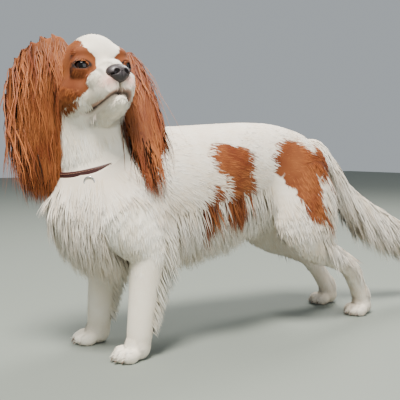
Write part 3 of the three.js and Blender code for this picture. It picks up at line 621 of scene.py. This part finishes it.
def strands(name, at, spec, seed):
    rng = np.random.default_rng(seed)
    n = len(at)
    normal, way = normals[at], lie[at]
    jitter = rng.normal(size=(n, 3)) * spec["jitter"]
    jitter -= (jitter * normal).sum(1)[:, None] * normal
    root = skinPoints[at] + jitter - normal * 0.8
    lock = locksOf(root, spec["lock"], 31)
    ofLock = np.clip(np.random.default_rng(77).normal(size=(lock.max() + 1, 4)), -1.5, 1.5)
    aside = unit(np.cross(normal, way))
    lean = ofLock[lock, :1] * spec["sway"] + 0.5 * spec["sway"] * ripple(root, 60, 21)[:, None]
    way = unit(way + aside * (lean + rng.normal(size=(n, 1)) * spec["loose"]))
    flat = unit(way * 1.15 - (way * normal).sum(1)[:, None] * normal)
    lift = spec["lift"] * (1 + 0.5 * rng.random((n, 1)) + 0.25 * ofLock[lock, 1:2])
    start = unit(flat * (1 - lift) + normal * lift)
    hang = spec["hang"]
    fall = way * hang + flat * (1 - hang) - normal * spec["cling"]
    length = coatLength[at] * (0.86 + 0.22 * rng.random(n)) * (1 + 0.09 * ofLock[lock, 2])
    length = np.maximum(length, 2.5)[:, None]
    into = np.minimum((fall * normal).sum(1), 0)[:, None]  # hair lies on the body, not in it
    thin = np.isin(region[at], onEars)[:, None]  # off an ear's edge the hair falls free
    fall = unit(fall - normal * into * np.where(thin, 0.3, spec["slide"]))
    first = np.minimum(length * 0.42, spec["first"])  # past it the hair falls
    bend = root + start * first
    tip = bend + fall * (length - first)
    free = np.where(np.isin(region[at], (*onEars, onTail)), 1, 0.5)[:, None]  # ears and tail hang in locks
    gather = spec["gather"] * free * np.clip(length / 20, 0.3, 1)
    tip = tip + (meanOf(tip, lock)[lock] - tip) * gather
    side = unit(np.cross(start, normal))
    rings = spec["rings"]
    width = spec["width"] * (0.7 + 0.6 * rng.random((n, 1))) * np.clip(length / 14, 0.42, 1)
    phase = 2.2 * ofLock[lock, 3:] + rng.random((n, 1)) * 0.7
    points, tips, faceOut = [], [], []
    for k in range(rings):
        t = k / rings
        centre = (1 - t) ** 2 * root + 2 * t * (1 - t) * bend + t * t * tip
        wave = np.sin(phase + t * length * spec["waves"]) * spec["wave"] * free * min(1, 2 * t)
        centre = centre + side * wave
        ahead = unit((bend - root) * (1 - t) + (tip - bend) * t)
        deep = unit(np.cross(side, ahead))
        w = width * (0.75 + 0.5 * t if t < 0.5 else 2 * (1 - t)) * 0.5
        points += [centre + side * w, centre + deep * w * 0.7, centre - side * w]
        soft = normal * spec["soft"]
        faceOut += [soft + side * 0.5, soft + deep * 0.5, soft - side * 0.5]
        tips += [t] * 3
    points.append(tip + side * np.sin(phase + length * spec["waves"]) * spec["wave"] * free)
    faceOut.append(normal)
    tips.append(1.0)
    per = 3 * rings + 1
    co = np.stack(points, 1)
    tris = [(0, 1, 2)]
    for k in range(rings - 1):
        for j in range(3):
            a, b = 3 * k + j, 3 * k + (j + 1) % 3
            tris += [(a, b + 3, b), (a, a + 3, b + 3)]
    for j in range(3):
        tris.append((3 * (rings - 1) + (j + 1) % 3, 3 * (rings - 1) + j, per - 1))
    tris = (np.arange(n)[:, None, None] * per + np.array(tris)[None]).reshape(-1, 3)
    co[..., 2] = np.maximum(co[..., 2], 0.4)
    past = np.maximum(spec["front"] - co[..., 1], 0)
    give = spec["give"]
    co[..., 1] += past - give * (1 - np.exp(-past / give))  # the ear's outer hair stays near the leather
    around = np.array([0, 0.5, 1] * rings + [0.5])
    uv = place[at][:, None] + np.stack([np.array(tips), around], -1)[None] * 0.003
    tint = np.clip(0.42 + 0.2 * ofLock[lock, 0] + 0.22 * rng.normal(size=n) + 0.12 * ripple(root, 50, 9), 0, 1)
    attributes = {"mark": np.repeat(marks[0][at], per), "dark": np.repeat(marks[1][at], per),
                  "pink": np.repeat(marks[2][at], per), "tint": np.repeat(tint, per),
                  "tip": np.tile(np.array(tips), n)}
    piece = fastMesh(name, placed(co.reshape(-1, 3)), tris, attributes, uv.reshape(-1, 2))
    piece.data.normals_split_custom_set_from_vertices(unit(np.stack(faceOut, 1)).reshape(-1, 3))
    return dress(piece, strandLook, "white_coat")


# width, wave, lock, jitter, first, front and give are in mm; gather draws the tips of a lock together
short = {"count": 70000, "parts": 5, "rings": 2, "width": 1.5, "lift": 0.07, "hang": 0.2, "slide": 1.0,
         "cling": 0.05, "wave": 0.2, "waves": 0.12, "sway": 0.12, "loose": 0.09, "lock": 9, "gather": 0.45,
         "jitter": 0.9, "soft": 0.75, "first": 12, "front": -176, "give": 9}
longer = {"count": 23000, "parts": 5, "rings": 6, "width": 1.8, "lift": 0.12, "hang": 0.85, "slide": 0.9,
          "cling": 0.03, "wave": 3.0, "waves": 0.12, "sway": 0.09, "loose": 0.05, "lock": 11, "gather": 0.62,
          "jitter": 1.0, "soft": 0.65, "first": 16, "front": -176, "give": 9}
rngPick = np.random.default_rng(5)
h = toHead(skinPoints)
fromEye = np.stack([np.abs(h[:, 0]), h[:, 1], h[:, 2]], -1) - np.array(eye["at"])
bare = (np.linalg.norm(fromEye, axis=1) < eye["bare"]) & (h[:, 1] < -46)
bare |= (np.abs(h[:, 0]) < 15) & (h[:, 1] < -70) & (h[:, 2] > -31) & (h[:, 2] < -8)
bare |= (marks[1] > 0.75) | (skinPoints[:, 2] < 2)
bare |= (region == onHead) & (h[:, 1] < -20) & (np.abs(h[:, 2] - mouthLine(h[:, 0]) - 1) < 4.5)  # lips
fromCut = skinPoints - cut[0]
overCollar = fromCut @ cut[1]  # height above the collar's plane
atNeck = (region <= onNeck) & (skinPoints[:, 2] > collar["lowest"]) & (skinPoints[:, 1] < collar["behind"])
outOfCut = np.hypot(fromCut @ cut[2] / cut[4], fromCut @ cut[3] / cut[5])
atCollar = atNeck & (outOfCut < collar["reach"])
bare |= atCollar & (np.abs(overCollar) < collar["bare"])
above = atCollar & (overCollar > 0)
room = np.maximum(overCollar - collar["stop"], collar["least"])  # hair above ends at the collar
coatLength = np.where(above, np.minimum(coatLength, room), coatLength)
weight = np.where(bare, 0, 1.0)
shortWeight = weight * (isLong == 0) * np.where(region == onHead, 2.6, 1)
shortWeight = shortWeight * np.where(skinPoints[:, 2] < 30, 1.7, 1)
longWeight = weight * (isLong == 1) * np.where(np.isin(region, onEars), 1.8, 1)
longWeight = longWeight * np.where(region == onTail, 3.2, 1)
for kind, spec, chance in (("shortCoat", short, shortWeight), ("longCoat", longer, longWeight)):
    count = spec["count"]
    chosen = rngPick.choice(len(skinPoints), count, p=chance / chance.sum())
    for part in range(spec["parts"]):
        strands(f"{kind}{part}", chosen[part::spec["parts"]], spec, 100 + part)
print("coat made")


# round things: a tube through centres
def tube(centres, radii, sides=12, squash=1.0):
    centres = np.asarray(centres, float)
    tangent = np.gradient(centres, axis=0)
    tangent /= np.linalg.norm(tangent, axis=1)[:, None] + 1e-9
    ref = np.array((1.0, 0.13, 0.07))
    side = np.cross(tangent, ref)
    side /= np.linalg.norm(side, axis=1)[:, None]
    deep = np.cross(tangent, side)
    angle = np.linspace(0, 2 * math.pi, sides, endpoint=False)
    r = np.asarray(radii, float)[:, None, None]
    ring = centres[:, None] + r * (np.cos(angle)[None, :, None] * side[:, None]
                                   + squash * np.sin(angle)[None, :, None] * deep[:, None])
    points = np.concatenate([centres[:1], ring.reshape(-1, 3), centres[-1:]])
    faces = []
    for j in range(sides):
        k = (j + 1) % sides
        faces.append((0, 1 + j, 1 + k))
        for i in range(len(centres) - 1):
            a, b = 1 + i * sides + j, 1 + i * sides + k
            faces += [(a, a + sides, b + sides), (a, b + sides, b)]
        faces.append((len(points) - 1, 1 + (len(centres) - 1) * sides + k, 1 + (len(centres) - 1) * sides + j))
    return points, np.array(faces)


def joined(parts):
    points, faces, start = [], [], 0
    for p, f in parts:
        points.append(p)
        faces.append(np.asarray(f) + start)
        start += len(p)
    return np.concatenate(points), np.concatenate(faces)


# eyes
def eyeLook():
    material = plainMaterial("eyeLook", (0.01, 0.005, 0.003, 1), 0.06, coat=0.25)
    tree = material.node_tree
    tree.nodes["Principled BSDF"].inputs["Specular IOR Level"].default_value = 0.3
    gaze = node(tree, "ShaderNodeAttribute", attribute_name="gaze").outputs["Fac"]
    pupil = maths(tree, "MULTIPLY", maths(tree, "SUBTRACT", gaze, 0.90), 30.0)
    iris = maths(tree, "SUBTRACT", 1.0, pupil, 0, True)
    white = maths(tree, "MULTIPLY", maths(tree, "SUBTRACT", 0.35, gaze), 12.0, 0, True)
    colour = mix(tree, iris, (0.002, 0.0015, 0.0015, 1), (0.016, 0.006, 0.003, 1))
    colour = mix(tree, white, colour, (0.10, 0.06, 0.05, 1))
    tree.links.new(colour, tree.nodes["Principled BSDF"].inputs["Base Color"])
    return material


eyeMaterial = eyeLook()
for side, name in ((1, "left"), (-1, "right")):
    t = np.linspace(0, math.pi, 33)
    turn = math.radians(eye["outward"]) * side
    axis = np.array((math.sin(turn), -math.cos(turn), 0))
    middle = np.array((side * eye["at"][0], eye["at"][1], eye["at"][2]))
    centres = middle - axis * np.cos(t)[:, None] * eye["radius"]
    points, faces = tube(centres[1:-1], (eye["radius"] * np.sin(t))[1:-1], 36)
    points[0], points[-1] = middle - axis * eye["radius"], middle + axis * eye["radius"]
    gaze = (points - middle) @ axis / eye["radius"]
    dress(fastMesh("eye_" + name, fromHead(points), faces, {"gaze": gaze}), eyeMaterial, "eye", "eye_" + name)


# nose leather
def noseDistance(p):
    q = p - np.array(nose["at"], float)
    narrow = 1 - 0.34 * np.clip(-q[..., 2] / nose["half"][2], 0, 1)
    q = np.stack([q[..., 0] / narrow, q[..., 1], q[..., 2]], -1)
    field = roundDistance(q, (0, 0, 0), nose["half"])
    field = smoothMin(field, roundDistance(q, (0, 3, 3), (14.4, 7, 8)), 4)
    x = np.abs(p[..., 0])
    m = np.stack([x, p[..., 1], p[..., 2]], -1)
    hole = roundDistance(m, (6.2, -86, -19.5), (3.4, 6, 3))
    slit = roundDistance(m, (10.6, -82, -22), (5, 7, 1.2))
    field = np.maximum(field, -smoothMin(hole, slit, 1.5))
    return field + 0.9 * np.exp(-(x / 0.9) ** 2) * (p[..., 2] < -20)


nosePoints, noseFaces = surfaceOf(noseDistance, (-18, -90, -34), (18, -63, -5), 0.6)
noseMaterial = plainMaterial("noseLook", (0.035, 0.025, 0.026, 1), 0.45, coat=0.05, bumpScale=900)
dress(fastMesh("nose", fromHead(nosePoints), noseFaces, {}), noseMaterial, "nose_leather", "nose")

# claws
claw = {"ahead": 8, "long": 7, "high": 8, "curl": 5.2, "wide": 2.0, "tip": 0.15, "rings": 7}
clawParts = []
for at, turn, wide in paws.values():
    c, s = math.cos(math.radians(turn)), math.sin(math.radians(turn))
    for x, y, r in toes:
        t = np.linspace(0, 1, claw["rings"])
        path = np.stack([np.full(claw["rings"], x * wide), y - claw["ahead"] - claw["long"] * t,
                         claw["high"] - t - claw["curl"] * t ** 2], -1)
        p = np.stack([path[:, 0] * c - path[:, 1] * s + at[0], path[:, 0] * s + path[:, 1] * c + at[1],
                      path[:, 2]], -1)
        clawParts.append(tube(p, claw["wide"] * (1 - t) ** 0.6 + claw["tip"], 8))
clawPoints, clawFaces = joined(clawParts)
clawMaterial = plainMaterial("clawLook", (0.24, 0.17, 0.13, 1), 0.35)
dress(fastMesh("claws", placed(clawPoints), clawFaces, {}), clawMaterial, "white_coat")

# collar
def onCollar(angle, rise, out):
    half = cut[4] + (highCut[4] - lowCut[4]) * rise / span + out
    depth = cut[5] + (highCut[5] - lowCut[5]) * rise / span + out
    angle = np.asarray(angle, float)[..., None]
    return cut[0] + cut[1] * rise + np.cos(angle) * cut[2] * half + np.sin(angle) * cut[3] * depth


edge, bevel, thick = collar["width"] / 2, collar["bevel"], collar["thick"]
profile = [(-edge, bevel), (bevel - edge, 0), (edge - bevel, 0), (edge, bevel), (edge, thick - bevel),
           (edge - bevel, thick), (0, thick + collar["crown"]), (bevel - edge, thick), (-edge, thick - bevel)]
angles = np.linspace(0, 2 * math.pi, collar["turns"], endpoint=False)
band = np.stack([onCollar(angles, rise, out + collar["gap"]) for rise, out in profile], 1)
k, m = collar["turns"], len(profile)
bandFaces = [(i * m + j, i * m + (j + 1) % m, (i + 1) % k * m + (j + 1) % m, (i + 1) % k * m + j)
             for i in range(k) for j in range(m)]
leather = plainMaterial("collarLook", (0.045, 0.010, 0.009, 1), 0.42, bumpScale=420, bumpStrength=0.35)
collarBand = fastMesh("collar", placed(band.reshape(-1, 3)), np.array(bandFaces), {})
dress(collarBand, leather, "collar_leather", "collar")


def stitchTree():  # short threads set along a line of points, each turned to the line
    tree = bpy.data.node_groups.new("stitches", "GeometryNodeTree")
    tree.interface.new_socket("Geometry", in_out="INPUT", socket_type="NodeSocketGeometry")
    for name, value in (("spacing", 0.0042), ("length", 0.0029), ("thickness", 0.0008)):
        tree.interface.new_socket(name, in_out="INPUT", socket_type="NodeSocketFloat").default_value = value
    tree.interface.new_socket("Geometry", in_out="OUTPUT", socket_type="NodeSocketGeometry")
    given = tree.nodes.new("NodeGroupInput").outputs
    line = node(tree, "GeometryNodeMeshToCurve", {"Mesh": given["Geometry"]})
    spots = node(tree, "GeometryNodeCurveToPoints", {"Curve": line.outputs[0], "Length": given["spacing"]},
                 mode="LENGTH")
    size = node(tree, "ShaderNodeCombineXYZ", {"X": given["thickness"], "Y": given["thickness"],
                                               "Z": given["length"]})
    thread = node(tree, "GeometryNodeMeshCube", {"Size": size.outputs[0]})
    turned = node(tree, "FunctionNodeAlignRotationToVector", {"Vector": spots.outputs["Tangent"]})
    turned.axis = "Z"
    laid = node(tree, "GeometryNodeInstanceOnPoints", {"Points": spots.outputs["Points"],
                                                       "Instance": thread.outputs["Mesh"],
                                                       "Rotation": turned.outputs[0]})
    real = node(tree, "GeometryNodeRealizeInstances", {"Geometry": laid.outputs[0]})
    painted = node(tree, "GeometryNodeSetMaterial", {"Geometry": real.outputs[0], "Material": threadLook})
    tree.links.new(painted.outputs[0], tree.nodes.new("NodeGroupOutput").inputs[0])
    return tree


threadLook = plainMaterial("threadLook", (0.16, 0.075, 0.045, 1), 0.7)
stitch = {"rise": 5.6, "out": 3.35}
for rowName, side in (("stitchesLow", -1), ("stitchesHigh", 1)):
    ring = placed(onCollar(angles, side * stitch["rise"], stitch["out"] + collar["gap"]))
    mesh = bpy.data.meshes.new(rowName)
    mesh.from_pydata(ring.tolist(), [(i, (i + 1) % k) for i in range(k)], [])
    guide = bpy.data.objects.new(rowName, mesh)
    bpy.context.scene.collection.objects.link(guide)
    stitching = guide.modifiers.new("stitches", "NODES")
    stitching.node_group = stitchTree()
    done = bpy.data.meshes.new_from_object(guide.evaluated_get(bpy.context.evaluated_depsgraph_get()))
    guide.modifiers.clear()
    guide.data = done
    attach(guide, "root")

# collar ring
collarRing = {"angle": -math.pi / 2 + 0.95, "radius": 6.5, "wire": 1.1, "turns": 40, "sides": 12}
hang = onCollar(collarRing["angle"], -2, collar["thick"] + 3.2) - np.array((0, 0, 6))
face = onCollar(collarRing["angle"], 0, 20) - onCollar(collarRing["angle"], 0, 0)
face = np.array((face[0], face[1], 0)) / math.hypot(face[0], face[1])
across = np.cross((0, 0, 1), face)
turn = np.linspace(0, 2 * math.pi, collarRing["turns"], endpoint=False)
circle = hang + collarRing["radius"] * (np.cos(turn)[:, None] * across
                                        + np.sin(turn)[:, None] * np.array((0, 0, 1)))
spoke = np.linspace(0, 2 * math.pi, collarRing["sides"], endpoint=False)
outward = (circle - hang) / collarRing["radius"]
ringPoints = circle[:, None] + collarRing["wire"] * (np.cos(spoke)[None, :, None] * outward[:, None]
                                              + np.sin(spoke)[None, :, None] * face[None, None])
k, m = collarRing["turns"], collarRing["sides"]
ringFaces = [(i * m + j, (i + 1) % k * m + j, (i + 1) % k * m + (j + 1) % m, i * m + (j + 1) % m)
             for i in range(k) for j in range(m)]
steel = plainMaterial("steelLook", (0.62, 0.62, 0.64, 1), 0.22, metallic=1.0)
dress(fastMesh("collarRing", placed(ringPoints.reshape(-1, 3)), np.array(ringFaces), {}), steel, "steel",
      "collar_ring")

# floor, camera and light
floorMesh = bpy.data.meshes.new("floor")
floorMesh.from_pydata([(-6, -6, 0), (6, -6, 0), (6, 6, 0), (-6, 6, 0)], [], [(0, 1, 2, 3)])
floor = bpy.data.objects.new("floor", floorMesh)
bpy.context.scene.collection.objects.link(floor)
floorMesh.materials.append(plainMaterial("floorLook", (0.20, 0.22, 0.19, 1), 0.85))

view = {"at": (771.23, -333.91, 271.06), "turn": 0.52449, "dip": 0.07811, "lens": 54.0}
camera = bpy.data.objects.new("camera", bpy.data.cameras.new("camera"))
bpy.context.scene.collection.objects.link(camera)
camera.location = placed(view["at"])
ahead = Vector((-math.cos(view["turn"]) * math.cos(view["dip"]),
                math.sin(view["turn"]) * math.cos(view["dip"]), -math.sin(view["dip"])))
camera.rotation_euler = ahead.to_track_quat("-Z", "Y").to_euler()
camera.data.lens = view["lens"]
camera.data.clip_start = 0.01
bpy.context.scene.camera = camera

lamps = {  # place, size, power, colour
    "key": ((0.9, -0.9, 2.6), 0.8, 205, (1, 0.97, 0.92)),
    "fill": ((2.2, 0.2, 0.9), 1.8, 26, (0.92, 0.96, 1)),
    "rim": ((-1.0, 1.3, 2.2), 1.0, 70, (1, 0.98, 0.95))}
for name, (where, size, power, colour) in lamps.items():
    lamp = bpy.data.lights.new(name, "AREA")
    lamp.size, lamp.energy, lamp.color = size, power, colour
    holder = bpy.data.objects.new(name, lamp)
    holder.location = where
    holder.rotation_euler = (Vector((0, 0, 0.2)) - Vector(where)).to_track_quat("-Z", "Y").to_euler()
    bpy.context.scene.collection.objects.link(holder)
world = bpy.data.worlds.new("studio")
world.use_nodes = True
world.node_tree.nodes["Background"].inputs["Color"].default_value = (0.46, 0.50, 0.53, 1)
world.node_tree.nodes["Background"].inputs["Strength"].default_value = 0.85
bpy.context.scene.world = world
